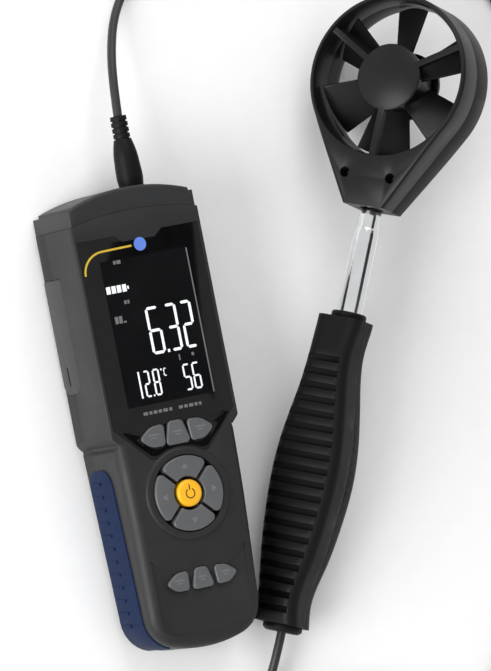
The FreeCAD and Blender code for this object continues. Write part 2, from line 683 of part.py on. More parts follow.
def keys():
    middles = {"left": "-side_key_x", "middle": "0", "right": "side_key_x"}
    for row, y, top in (("upper", "key_row_y", "key_row_top"), ("lower", "key_low_y", "key_low_top")):
        for side, corners in key_row(row).items():
            key(f"key_{row}_{side}", corners, middles[side], y, top)
    for quarter, side in enumerate(("right", "up", "left", "down")):
        ring_key(f"key_ring_{side}", quarter)
    centre_key()


# ---------------------------------------------------------------- electronics, battery and sockets

def electronics():
    board = new_body("main_board")
    plan = outline(sketch_on(board, level="board_under"), symmetric([
        ("board_low_half", "-board_end"), ("board_low_half", "-3"),
        ("board_half", "0"), ("board_half", "board_end")]))
    pad(board, plan, "board_thick")
    chips = []
    places = ((-6, 34, 12, 12), (12, 40, 7, 10), (8, 8, 9, 6), (-14, 4, 6, 6), (14, -14, 5, 9))
    for i, (x, y, wide, long) in enumerate(places):
        chips.append(block(f"chip_{i}", f"{x - wide / 2}", f"{x + wide / 2}", f"{y - long / 2}",
                           f"{y + long / 2}", "board_under - 1.8", "board_under - 0.05"))
    joined("board_chips", chips, "Part::Compound")
    mat = new_body("keypad_mat")
    sheet_top = "board_under + board_thick + mat_thick"
    pad(mat, rectangle(sketch_on(mat, level="board_under + board_thick"), "-20", "20", "-board_end + 0.5", "2"),
        "mat_thick")
    domes = sketch_on(mat, level=sheet_top)
    for x, y in (("side_key_x", "key_row_y"), ("-side_key_x", "key_row_y"), ("0", "key_row_y"),
                 ("side_key_x", "key_low_y"), ("-side_key_x", "key_low_y"), ("0", "key_low_y"), ("0", "ring_y"),
                 ("12", "ring_y"), ("-12", "ring_y"), ("0", "ring_y + 12"), ("0", "ring_y - 12")):
        circle(domes, x, y, "2.2")
    pad(mat, domes, "0.45")
    block("side_board", "-case_half + 9", "-case_half + 10.2", "27", "66", "5", "18", exported=True)
    usb_body = block("usb_body", "-case_half + 2.2", "-case_half + 8.9", "33", "41", "9", "13.3")
    usb_mouth = block("usb_mouth", "-case_half + 1", "-case_half + 7.5", "33.6", "40.4", "9.6", "12.7")
    cut("usb_socket", usb_body, usb_mouth)
    jack_body = block("jack_body", "-case_half + 2.2", "-case_half + 8.9", "50", "59", "7.4", "15.6")
    jack_bore = rod("jack_bore", "-case_half + 1", "54.5", "11.5", "1.75", "6.5", V(1, 0, 0))
    cut("power_jack", jack_body, jack_bore)


def battery():
    can = block("battery_can", "-battery_width / 2", "battery_width / 2", "battery_foot",
                "battery_foot + battery_length", "battery_base", "battery_base + battery_height")
    rounded_can = doc.addObject("Part::Fillet", "battery_rounded")
    rounded_can.Base = can
    doc.recompute()
    rounded_can.Edges = [(i + 1, 2.0, 2.0) for i, e in enumerate(can.Shape.Edges)
                         if abs(e.tangentAt(e.FirstParameter).y) > 0.9]
    snaps = [rod(f"battery_snap_{i}", x, "battery_foot + battery_length - 0.5",
                 "battery_base + battery_height / 2", radius, "3", V(0, 1, 0))
             for i, (x, radius) in enumerate((("-6.35", "2.8"), ("6.35", "4.2")))]
    joined("battery", [rounded_can, *snaps])
    block("battery_connector", "-12.5", "12.5", "battery_foot + battery_length + 2.6",
          "battery_foot + battery_length + 5.4", "battery_base + 2.2", "battery_base + battery_height - 2.2",
          exported=True)
    door = new_body("battery_door")
    plate = sketch_on(door, level="door_inset")
    rectangle(plate, "-door_half + door_gap", "door_half - door_gap",
              "door_low + door_gap", "door_high - door_gap")
    pad(door, plate, "door_thick")
    hole = circle(sketch_on(door), "0", "door_screw_y", "1.3")
    pocket(door, hole, "5", reverse=True)
    sink = circle(sketch_on(door), "0", "door_screw_y", "2.4")
    pocket(door, sink, "door_inset + 1.1", reverse=True)
    grooves = sketch_on(door)
    for i in range(5):
        rectangle(grooves, "-7", "7", f"door_high - 8 - {i} * 2.4", f"door_high - 7 - {i} * 2.4")
    pocket(door, grooves, "door_inset + 0.5", reverse=True)


def screw(label, radius, length, head_radius, head_height):
    """A pan-head screw along +Z with its head's underside at the origin and a cross recess."""
    body = new_body(label, exported=False)
    profile = sketch_on(body, "XZ_Plane")
    outline(profile, [("0", length), (f"{radius} - 0.4", length), (radius, f"{length} - 0.8"), (radius, "0"),
                      (head_radius, "0"), (head_radius, f"0.3 - {head_height}"),
                      (f"{head_radius} - 0.4", f"-({head_height})"), ("0", f"-({head_height})")])
    turned(body, profile)
    cross = sketch_on(body, level=f"-({head_height})")
    arm, half = f"{head_radius} * 0.6", "0.28"
    back_arm, back_half = f"-({arm})", f"-{half}"
    outline(cross, [(arm, back_half), (arm, half), (half, half), (half, arm), (back_half, arm), (back_half, half),
                    (back_arm, half), (back_arm, back_half), (back_half, back_half), (back_half, back_arm),
                    (half, back_arm), (half, back_half)])
    pocket(body, cross, f"{head_height} * 0.55", reverse=True)
    return body


def screws():
    placed = []
    for i, (x, y) in enumerate(post_places()):
        one = screw(f"case_screw_{i}", "screw_radius", "18", "2.2", "1.6")
        one.Placement.Base = V(mm(x), mm(y), 6)
        placed.append(one)
    joined("case_screws", placed, "Part::Compound")
    door_screw = screw("battery_door_screw", "0.85", "4.4", "2.2", "1")
    keep("battery_door_screw", door_screw)
    door_screw.Placement.Base = V(0, mm("door_screw_y"), mm("door_inset + 1.05"))


def along_y(body, x, y, z):
    """Stands a body that was built along +Z on a point, pointing along +Y."""
    body.Placement = FreeCAD.Placement(V(mm(x), mm(y), mm(z)), FreeCAD.Rotation(V(1, 0, 0), -90))


def plug_and_socket():
    socket = new_body("probe_socket")
    cup = sketch_on(socket, "XZ_Plane")
    outline(cup, [("0", "0"), ("6.4", "0"), ("6.4", "9.4"), ("7.6", "9.4"), ("7.6", "10.9"), ("6.4", "10.9"),
                  ("6.4", "15.1"), ("4.65", "15.1"), ("4.65", "7"), ("0", "7")])
    turned(socket, cup)
    contact = circle(sketch_on(socket, level="8"), "2.4", "0", "0.6")
    first = pocket(socket, contact, "5.5")
    pattern = socket.newObject("PartDesign::PolarPattern", "contact_holes")
    pattern.Originals = [first]
    pattern.Axis = (next(f for f in socket.Origin.OriginFeatures if f.Role == "Z_Axis"), [""])
    pattern.Angle = 360
    pattern.Occurrences = 6
    finished(socket, pattern, removes=True)
    along_y(socket, "socket_x", "plug_base - 15.2", "socket_z")
    shell = new_body("plug_shell")
    ring = sketch_on(shell)
    circle(ring, "0", "0", "4.55")
    circle(ring, "0", "0", "4.1")
    pad(shell, ring, "7.5")
    along_y(shell, "socket_x", "plug_base - 7.5", "socket_z")
    pins = [rod(f"plug_pin_{i}", f"socket_x + 2.4 * {math.cos(i * math.pi / 3):.5f}", "plug_base - 12",
                f"socket_z - 2.4 * {math.sin(i * math.pi / 3):.5f}", "0.5", "12", V(0, 1, 0)) for i in range(6)]
    joined("plug_pins", pins, "Part::Compound")
    body = new_body("plug_body")
    profile = sketch_on(body, "XZ_Plane")
    outline(profile, [("0", "0"), ("5.3", "0"), ("5.9", "4.6", "90"), ("5.6", "11.6", "40"), ("4.1", "21.4"),
                      ("3.9", "22.2"), ("0", "22.2")])
    turned(body, profile)
    along_y(body, "socket_x", "plug_base", "socket_z")
    boot = new_body("plug_boot")
    profile = sketch_on(boot, "XZ_Plane")
    steps = [("0", "0"), ("3.1", "0"), ("3.1", "0.5")]
    for i in range(3):
        low = 0.5 + 2.6 * i
        steps += [("3.75", f"{low}"), ("3.75", f"{low + 1.9}"),
                  ("3.05", f"{low + 1.9}"), ("3.05", f"{low + 2.6}")]
    steps += [("3.7", "8.3"), ("3.6", "10.3"), ("0", "10.3")]
    outline(profile, steps)
    turned(boot, profile)
    along_y(boot, "socket_x", "plug_base + 22.2", "socket_z")


# ---------------------------------------------------------------- cord

def plug_route():
    """The cord's route from the plug to the coil, millimetres."""
    x, y, z = mm("socket_x"), mm("plug_base + 32.5"), mm("socket_z")
    floor = mm("cord_radius") + 0.05
    falling = [(x, y, z), (x + 1.4, y + 14, z - 1.2), (x + 6, y + 29, z - 6.5), (x + 13.5, y + 44, z - 12.9),
               (x + 24, y + 57, floor + 1.4)]
    flat = [(50, 201.8), (73, 209), (108, 207), (150, 197), (190, 187), (219, 168), (228, 134), (221, 90),
            (208, 46), (199, 2), (191, -43), (181, -88), (168, -126.2), (147, -154.2), (117, -172.2),
            (91, -181.2), (72, -184.4)]
    return falling + [(px, py, floor) for px, py in flat]


def probe_route():
    """The cord's route from the coil to the handle's butt, millimetres."""
    exit_point = probe_place().multVec(V(0, -0.6, 0))
    ahead = probe_place().multVec(V(0, -13, 0))
    floor = mm("cord_radius") + 0.05
    return [tuple(exit_point), tuple(ahead), (37.9, -126, floor + 2.9), (35.4, -137.5, floor),
            (38, -151, floor), (46.4, -161, floor)]


def cord_tube(label, route):
    """A round tube along straight runs joined by arcs as large as the runs allow."""
    points = [V(*p) for p in route]
    edges, start, radii, length = [], points[0], [], 0.0
    for before, corner, after in zip(points, points[1:], points[2:]):
        back, on = (before - corner), (after - corner)
        half_turn = (math.pi - back.getAngle(on)) / 2
        reach = 0.45 * min(back.Length, on.Length)
        radii.append(reach / math.tan(half_turn))
        first = corner + back.normalize() * reach
        last = corner + on.normalize() * reach
        bisector = (first + last) * 0.5 - corner
        middle = corner + bisector.normalize() * (radii[-1] / math.cos(half_turn) - radii[-1])
        edges.append(Part.LineSegment(start, first).toShape())
        edges.append(Part.Arc(first, middle, last).toShape())
        start = last
    edges.append(Part.LineSegment(start, points[-1]).toShape())
    path = Part.Wire(edges)
    ring = Part.Wire([Part.Circle(points[0], points[1] - points[0], mm("cord_radius")).toShape()])
    feature = doc.addObject("Part::Feature", label)
    feature.Shape = path.makePipeShell([ring], True, False)
    keep(label, feature)
    expected = path.Length * math.pi * mm("cord_radius") ** 2
    share = feature.Shape.Volume / expected
    print(f"{label}: length {path.Length:.1f}, radii {[round(r, 1) for r in radii]}, volume share {share:.4f}")
    return path.Length


def cord():
    cord_tube("cord_meter_end", plug_route())
    cord_tube("cord_probe_end", probe_route())
    coil = new_body("cord_coil")
    section = sketch_on(coil, "XZ_Plane")
    corner = "2"
    outline(section, [(f"coil_inner + {corner}", "0.1"), (f"coil_outer - {corner}", "0.1", corner),
                      ("coil_outer", f"0.1 + {corner}"), ("coil_outer", f"coil_height - {corner}", corner),
                      (f"coil_outer - {corner}", "coil_height"),
                      (f"coil_inner + {corner}", "coil_height", corner),
                      ("coil_inner", f"coil_height - {corner}"), ("coil_inner", f"0.1 + {corner}", corner)])
    turned(coil, section)
    coil.Placement.Base = V(mm("coil_x"), mm("coil_y"), 0)
    tie = new_body("cord_tie")
    band = sketch_on(tie, "XZ_Plane")
    rectangle(band, "coil_inner - 1.1", "coil_outer + 0.9", "0.02", "coil_height + 0.9")
    rectangle(band, "coil_inner - 0.2", "coil_outer + 0.05", "0.08", "coil_height + 0.05")
    pad(tie, band, "4", middle=True)
    tie.Placement = FreeCAD.Placement(V(mm("coil_x"), mm("coil_y"), 0), FreeCAD.Rotation(TOP_AXIS, -35))


# ---------------------------------------------------------------- probe

def probe_place():
    """The probe's frame: turned on the table, raised at the head and rolled towards the meter."""
    turn = FreeCAD.Rotation(TOP_AXIS, -mm("probe_turn"))
    rise = FreeCAD.Rotation(V(1, 0, 0), mm("probe_rise"))
    roll = FreeCAD.Rotation(V(0, 1, 0), -mm("probe_roll"))
    return FreeCAD.Placement(V(mm("probe_x"), mm("probe_y"), mm("probe_z")), turn.multiply(rise).multiply(roll))


def on_probe(feature, along="0"):
    """Places a sub-part in the probe's frame, moved up the mast."""
    feature.Placement = probe_place().multiply(FreeCAD.Placement(V(0, mm(along), 0), FreeCAD.Rotation()))


def handle_half_width(station):
    """The handle's half width: a waist near the butt, a swell, then a narrower neck and a slight flare."""
    if station <= 12:
        return f"(handle_waist + 1.4 * (1 - {station} / 12))"
    if station <= 72:
        return f"(handle_waist + handle_swell * sin(90 * ({station} - 12) / 60))"
    if station >= 128:
        return f"(handle_neck + 0.6 * ({station} - 128) / 14)"
    share = f"(0.5 + 0.5 * cos(180 * ({station} - 72) / 56))"
    return f"(handle_neck + (handle_waist + handle_swell - handle_neck) * {share})"


def handle_depth(station, side):
    """The handle's depth in front of the mast axis, or behind it."""
    if side == "front":
        if station < 12:
            return f"handle_front - 3.4 * (1 - {station} / 12)"
        if station > 126:
            return f"handle_front - 2.6 * ({station} - 126) / 16"
        return "handle_front"
    if station <= 18:
        return f"handle_back + 2.2 * (1 - {station} / 18)"
    if station >= 126:
        return f"handle_back + 1.2 * ({station} - 126) / 16"
    return f"handle_back + handle_back_swell * sin(180 * ({station} - 18) / 108)"


def handle_section(body, station, side, inset="0"):
    """Half a cross-section of the handle, flat on the parting plane."""
    sign, corner = ("-1", "7.6") if side == "rear" else ("1", "5.2")
    wide = f"({handle_half_width(station)} - ({inset}))"
    deep = f"({handle_depth(station, side)} - ({inset}))"
    corner = f"({corner} - 0.6 * ({inset}))"
    bend = f"{sign} * {corner}"
    sketch = sketch_on(body, "XZ_Plane", f"-{station}")
    face, shoulder = f"{sign} * {deep}", f"{sign} * ({deep} - {corner})"
    return outline(sketch, [(f"-{wide}", "0"), (wide, "0"), (wide, shoulder, bend), (f"{wide} - {corner}", face),
                            (f"{corner} - {wide}", face, bend), (f"-{wide}", shoulder)])


def lofted(body, sketches, kind="AdditiveLoft"):
    feature = body.newObject("PartDesign::" + kind, body.Name + "_loft")
    feature.Profile = sketches[0]
    feature.Sections = sketches[1:]
    feature.Ruled = False
    return finished(body, feature, removes=kind == "SubtractiveLoft")


def handle_half(label, side):
    """A hollow half of the handle, open at both ends for the mast and the cord."""
    body = new_body(label + "_shell", exported=False)
    stations = [2.6, 8, 14, 30, 50, 72, 92, 110, 126, 135, 142]
    wall = "handle_wall" if side == "rear" else "(slot_deep + 1.2)"
    lofted(body, [handle_section(body, s, side) for s in stations])
    lofted(body, [handle_section(body, s, side, wall) for s in stations[1:-1]], "SubtractiveLoft")
    mouth = circle(sketch_on(body, "XZ_Plane", "-150"), "0", "0", "6.9")
    pocket(body, mouth, "20", reverse=True)
    heel = circle(sketch_on(body, "XZ_Plane", "0"), "0", "0", "6.4")
    pocket(body, heel, "12")
    return body


def finger_slots():
    """The cross slots over the handle's front, each as long as the handle is wide there."""
    slots = []
    for i in range(int(mm("slot_count"))):
        station = round(mm("slot_first") + i * mm("slot_pitch"), 3)
        half = handle_half_width(station)
        middle = f"(slot_first + {i} * slot_pitch)"
        slots.append(block(f"slot_{i}", f"1.1 - {half}", f"{half} - 3.2", f"{middle} - slot_width / 2",
                           f"{middle} + slot_width / 2", "handle_front - slot_deep", "handle_front + 2"))
    return joined("slots", slots, "Part::Compound", exported=False)


def revolved(label, points):
    """A turned probe piece: points are (radius, distance along the mast)."""
    body = new_body(label)
    profile = sketch_on(body)
    outline(profile, points)
    turned(body, profile)
    on_probe(body)
    return body


def handle():
    on_probe(cut("handle_front", handle_half("handle_front", "front"), finger_slots()))
    on_probe(keep("handle_rear", handle_half("handle_rear", "rear")))
    revolved("handle_collar", [("mast_radius + 0.02", "132"), ("6.85", "132"), ("6.85", "142.05"),
                               ("collar_radius", "142.05"), ("collar_radius", "collar_top - 0.6"),
                               ("collar_radius - 0.6", "collar_top"), ("mast_radius + 0.02", "collar_top")])
    revolved("handle_end_cap", [("cord_radius + 0.02", "-0.6"), ("7.4", "-0.6"), ("8.9", "0.6"), ("8.9", "2.55"),
                                ("6.35", "2.55"), ("6.35", "9"), ("cord_radius + 0.02", "9")])
    revolved("mast_clamp", [("mast_radius + 0.02", "48"), ("8.6", "48"), ("8.6", "56"),
                            ("mast_radius + 0.02", "56")])


def mast():
    """Four nested tubes; each has an inward-rolled mouth and a swaged foot that keeps it in."""
    names = ("mast_outer", "mast_middle", "mast_inner", "mast_tip")
    for i, label in enumerate(names):
        outer = f"(mast_radius - {i} * mast_step)"
        foot = f"(mast_foot + {i} * mast_foot_step)"
        top = f"(mast_top + {8.4 + 1.6 * (i - 1)})" if i else "mast_top"
        swage = f"({outer} + mast_step - mast_wall - mast_play)"
        bore = f"({outer} - mast_wall)"
        inner_tube = f"({outer} - mast_step)"
        if i == 3:
            points = [(bore, foot), (swage, foot), (swage, f"{foot} + 3"), (outer, f"{foot} + 3.6"),
                      (outer, "head_along - 45.8"), (bore, "head_along - 45.8")]
        else:
            lip = f"({inner_tube} + mast_play)"
            points = [(bore, foot)]
            points += [(swage, foot), (swage, f"{foot} + 3"), (outer, f"{foot} + 3.6")] if i else [(outer, foot)]
            points += [(outer, f"{top} - mast_mouth"), (f"{lip} + 0.35", top), (lip, top), (lip, f"{top} - 0.8"),
                       (bore, f"{top} - mast_mouth")]
        revolved(label, points)


# ---------------------------------------------------------------- vane head

def head_shell(label, side):
    """Half of the vane head: a drop-shaped ring with its neck, and a three-spoke spider with its hub."""
    body = new_body(label)
    sign = "-1 * " if side == "rear" else ""
    back = side == "rear"
    drop = sketch_on(body)
    outline(drop, [("-neck_half", "neck_end"), ("neck_half", "neck_end"), (DROP_X, DROP_Y, "head_radius"),
                   ("0", "head_radius", "head_radius"), (f"-{DROP_X}", DROP_Y)])
    pad(body, drop, "head_half", reverse=back)
    wedge = sketch_on(body, "YZ_Plane")
    outline(wedge, [("neck_slope + 6", f"{sign}head_half", f"{sign}6 / tan({NECK_SLOPE} / 2)"),
                    (f"neck_slope - 6 * cos({NECK_SLOPE})", f"{sign}(head_half - 6 * sin({NECK_SLOPE}))"),
                    ("neck_end - 3", f"{sign}(neck_depth - 3 * tan({NECK_SLOPE}))"),
                    ("neck_end - 3", f"{sign}(head_half + 3)"), ("neck_slope + 6", f"{sign}(head_half + 3)")])
    pocket(body, wedge, "4 * head_radius", middle=True)
    level, low = mm("neck_depth") - 0.01, mm("neck_end") + 0.1
    rounded(body, "1.6", lambda m, e: abs(m.z) > level and m.y > low and (abs(m.x) > 2 or m.y > 20))
    bore = sketch_on(body, "XZ_Plane")
    outline(bore, [("0", f"{sign}-1"), ("bore_radius", f"{sign}-1"), ("bore_radius", f"{sign}(head_half - 4)"),
                   ("mouth_radius", f"{sign}head_half"), ("mouth_radius", f"{sign}(head_half + 2)"),
                   ("0", f"{sign}(head_half + 2)")])
    turned(body, bore, "Groove")
    hub = sketch_on(body, "XZ_Plane")
    outline(hub, [("0", f"{sign}9.2"), ("hub_radius", f"{sign}9.2"), ("hub_radius", f"{sign}11.2"),
                  ("hub_radius - 0.4", f"{sign}11.6", f"{sign}hub_bow"), ("2.5", f"{sign}hub_rise"),
                  ("0", f"{sign}hub_rise")])
    turned(body, hub)
    spoke = sketch_on(body, level=f"{sign}spoke_inner")
    rectangle(spoke, "-spoke_width / 2", "spoke_width / 2", "-bore_radius - 0.8", "4 - hub_radius")
    first = pad(body, spoke, "spoke_outer - spoke_inner", reverse=back)
    around(body, first, "3")
    boss = circle(sketch_on(body, level=f"{sign}8.2"), "0", "0", "3.4")
    pad(body, boss, "1.1", reverse=back)
    seat = circle(sketch_on(body, level=f"{sign}8"), "0", "0", "2.0")
    pocket(body, seat, "2.6", reverse=not back)
    recess = circle(sketch_on(body, "XZ_Plane", "-neck_end + 1"), "0", "0", "5.7")
    pocket(body, recess, "7")
    bore = circle(sketch_on(body, "XZ_Plane", "-neck_end + 1"), "0", "0", "mast_radius - 3 * mast_step + 0.05")
    pocket(body, bore, "14.2")
    room = sketch_on(body)
    rectangle(room, "-7", "7", "-46", "-39.6")
    pocket(body, room, "6", reverse=not back)
    holes = sketch_on(body)
    for x in ("head_screw_x", "-head_screw_x"):
        circle(holes, x, "head_screw_y", "screw_hole")
    pocket(body, holes, "20" if side == "front" else "7", reverse=not back)
    if side == "front":
        sinks = sketch_on(body, level="4.5")
        for x in ("head_screw_x", "-head_screw_x"):
            circle(sinks, x, "head_screw_y", "2.35")
        pocket(body, sinks, "20", reverse=True)
    on_probe(body, "head_along")


def blade_section(body, radius, chord, pitch):
    """A blade's thin cross-section at a radius, leaning by its pitch."""
    lean = math.radians(mm(pitch))
    c, s = f"{math.cos(lean):.5f}", f"{math.sin(lean):.5f}"
    points = []
    for along, across in ((-1, -1), (1, -1), (1, 1), (-1, 1)):
        u, w = f"({along} * {chord} / 2)", f"({across} * blade_thick / 2)"
        points.append((f"{u} * {c} - {w} * {s}", f"{u} * {s} + {w} * {c}"))
    return outline(sketch_on(body, "XZ_Plane", f"-({radius})"), points)


def impeller():
    wheel = new_body("impeller")
    hub = sketch_on(wheel, "XZ_Plane")
    outline(hub, [("shaft_radius", "-5.4"), ("3.2", "-5.4"), ("3.2", "-3"), ("vane_hub - 1.6", "-3"),
                  ("vane_hub - 1.6", "-5.8"), ("vane_hub", "-5.8"), ("vane_hub", "5.8"), ("vane_hub - 1", "6.8"),
                  ("shaft_radius", "6.8")])
    turned(wheel, hub)
    first = lofted(wheel, [blade_section(wheel, "vane_hub - 1.3", "root_chord", "root_pitch"),
                           blade_section(wheel, "tip_radius + 2", "tip_chord", "tip_pitch")])
    around(wheel, first, "blade_count")
    trim = sketch_on(wheel, "XZ_Plane")
    rectangle(trim, "tip_radius", "tip_radius + 14", "-14", "14")
    turned(wheel, trim, "Groove")
    on_probe(wheel, "head_along")
    shaft = new_body("impeller_shaft")
    pad(shaft, circle(sketch_on(shaft), "0", "0", "shaft_radius"), "20.2", middle=True)
    on_probe(shaft, "head_along")


def head_bearing(label, sign):
    """A blind bearing cup that the shaft's end runs in."""
    body = new_body(label)
    profile = sketch_on(body, "XZ_Plane")
    mouth, stop, end = f"{sign} * 8.2", f"{sign} * 10.25", f"{sign} * 10.6"
    outline(profile, [("shaft_radius + 0.05", mouth), ("2.0", mouth), ("2.0", end), ("0", end), ("0", stop),
                      ("shaft_radius + 0.05", stop)])
    turned(body, profile)
    on_probe(body, "head_along")


def head():
    head_shell("head_front", "front")
    head_shell("head_rear", "rear")
    impeller()
    head_bearing("bearing_front", "1")
    head_bearing("bearing_rear", "-1")
    board = new_body("sensor_board")
    sketch = sketch_on(board, level="-0.5")
    rectangle(sketch, "-6.5", "6.5", "-45.5", "-40")
    pad(board, sketch, "1")
    on_probe(board, "head_along")
    placed = []
    for i, x in enumerate(("head_screw_x", "-head_screw_x")):
        one = screw(f"head_screw_{i}", "screw_radius", "10", "2.1", "1.5")
        seat = V(mm(x), mm("head_along + head_screw_y"), 4.5)
        local = FreeCAD.Placement(seat, FreeCAD.Rotation(V(1, 0, 0), 180))
        one.Placement = probe_place().multiply(local)
        placed.append(one)
    joined("head_screws", placed, "Part::Compound")


# ---------------------------------------------------------------- build and write

def check():
    """Stops if any object failed or any sub-part isn't a valid solid."""
    for feature in doc.Objects:
        if "Invalid" in feature.State or "Error" in feature.State:
            raise ValueError(f"{feature.Name} failed: {feature.State}")
    for label, feature in nodes.items():
        if feature.Shape.isNull() or not feature.Shape.isValid() or not feature.Shape.Solids:
            raise ValueError(f"{label} is not a valid solid")


def main():
    fill_sheet()
    meter_case()
    top_cap()
    display_stack()
    keys()
    electronics()
    battery()
    screws()
    plug_and_socket()
    cord()
    handle()
    mast()
    head()
    doc.recompute()
    check()
    os.makedirs("parts", exist_ok=True)
    for label, feature in nodes.items():
        feature.Shape.exportStep(f"parts/{label}.step")
    print(len(nodes), "sub-parts written")


main()
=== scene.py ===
"""Looks for the vane anemometer: materials, display, markings and cord, round the fixed CAD frame."""

import json
import math

import bmesh
import bpy
from mathutils import Matrix, Vector


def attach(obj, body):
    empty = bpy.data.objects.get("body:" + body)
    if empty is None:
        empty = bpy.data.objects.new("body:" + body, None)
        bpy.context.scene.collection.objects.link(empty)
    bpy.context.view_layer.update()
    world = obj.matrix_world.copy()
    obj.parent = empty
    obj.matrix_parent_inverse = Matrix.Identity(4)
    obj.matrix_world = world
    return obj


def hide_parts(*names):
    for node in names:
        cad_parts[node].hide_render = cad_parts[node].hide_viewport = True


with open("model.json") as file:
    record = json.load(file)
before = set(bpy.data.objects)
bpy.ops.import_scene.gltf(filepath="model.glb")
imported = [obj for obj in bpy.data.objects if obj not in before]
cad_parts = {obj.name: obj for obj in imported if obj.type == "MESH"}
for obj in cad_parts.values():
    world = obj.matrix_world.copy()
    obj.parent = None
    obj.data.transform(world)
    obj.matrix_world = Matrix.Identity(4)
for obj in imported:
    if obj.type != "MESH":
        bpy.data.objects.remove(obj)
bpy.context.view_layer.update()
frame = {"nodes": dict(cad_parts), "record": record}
NODES = frame["nodes"]
METER = "meter_and_handle"
MM = 0.001
EDGE_ROUND = 0.00018
WELD_DISTANCE = 0.00001
SMOOTH_BELOW = math.radians(32)
ROUND_ABOVE = math.radians(40)


# ---------------------------------------------------------------- materials

SMEAR_SCALE = 35
GRAIN_DEPTH = 0.0002
# Width of the painted highlight along sharp edges.
EDGE_HIGHLIGHT_WIDTH = 0.0006


def node(tree, kind, **values):
    """A new shader node; each value goes to the input of that name, or else to the node's own setting."""
    made = tree.nodes.new("ShaderNode" + kind)
    for name, value in values.items():
        if name in made.inputs:
            made.inputs[name].default_value = value
        else:
            setattr(made, name, value)
    return made


def noise(tree, where, scale, detail):
    """Noise over the object's own coordinates, in features per metre."""
    texture = node(tree, "TexNoise", Scale=scale, Detail=detail, Roughness=0.6)
    tree.links.new(where.outputs["Object"], texture.inputs["Vector"])
    return texture.outputs["Fac"]


def remap(tree, source, low, high, start=0.3, end=0.7):
    """The source's range from start to end, stretched to run from low to high."""
    ranged = node(tree, "MapRange")
    for name, value in (("From Min", start), ("From Max", end), ("To Min", low), ("To Max", high)):
        ranged.inputs[name].default_value = value
    tree.links.new(source, ranged.inputs["Value"])
    return ranged.outputs["Result"]


def blend_colours(tree, factor, first, second):
    mix = node(tree, "Mix", data_type="RGBA")
    mix.inputs[6].default_value = (*first, 1)
    mix.inputs[7].default_value = (*second, 1)
    tree.links.new(factor, mix.inputs[0])
    return mix.outputs[2]


def shade(colour, factor):
    return tuple(min(1.0, c * factor) for c in colour)


def surface(name, colour, rough, spread=0.05, mottle=0.08, mottle_scale=120, grain=2400, bump=0.12,
            edge_highlight=0.0, **sockets):
    """A moulded, rubber or metal surface: mottled colour, uneven gloss, fine grain and sharp edges painted
    lighter, a painted highlight.
    """
    material = bpy.data.materials.new(name)
    material.use_nodes = True
    tree = material.node_tree
    shader = tree.nodes["Principled BSDF"]
    for socket, value in sockets.items():
        shader.inputs[socket.replace("_", " ")].default_value = value
    where = node(tree, "TexCoord")
    patches = noise(tree, where, mottle_scale, 4)
    tone = remap(tree, patches, 0, 1)
    colour_out = blend_colours(tree, tone, shade(colour, 1 - mottle), shade(colour, 1 + mottle))
    # Sharp edges get a lighter colour: a painted highlight where edges catch the light.
    if edge_highlight:
        edges = edge_mask(tree)
        mix = node(tree, "Mix", data_type="RGBA")
        mix.inputs[7].default_value = (*shade(colour, 1 + edge_highlight), 1)
        tree.links.new(edges, mix.inputs[0])
        tree.links.new(colour_out, mix.inputs[6])
        colour_out = mix.outputs[2]
    tree.links.new(colour_out, shader.inputs["Base Color"])
    smears = noise(tree, where, SMEAR_SCALE, 5)
    tree.links.new(remap(tree, smears, rough - spread, rough + spread), shader.inputs["Roughness"])
    if bump:
        fine = noise(tree, where, grain, 2)
        relief = node(tree, "Bump", Strength=bump, Distance=GRAIN_DEPTH)
        tree.links.new(fine, relief.inputs["Height"])
        tree.links.new(relief.outputs["Normal"], shader.inputs["Normal"])
    return material


def edge_mask(tree):
    """1 on sharp edges and 0 on faces: how far a softened normal leans from the true one."""
    soft = node(tree, "Bevel", samples=4)
    soft.inputs["Radius"].default_value = EDGE_HIGHLIGHT_WIDTH
    true_normal = node(tree, "NewGeometry")
    dot = node(tree, "VectorMath", operation="DOT_PRODUCT")
    tree.links.new(soft.outputs["Normal"], dot.inputs[0])
    tree.links.new(true_normal.outputs["Normal"], dot.inputs[1])
    return remap(tree, dot.outputs["Value"], 1, 0, 0.75, 0.99)
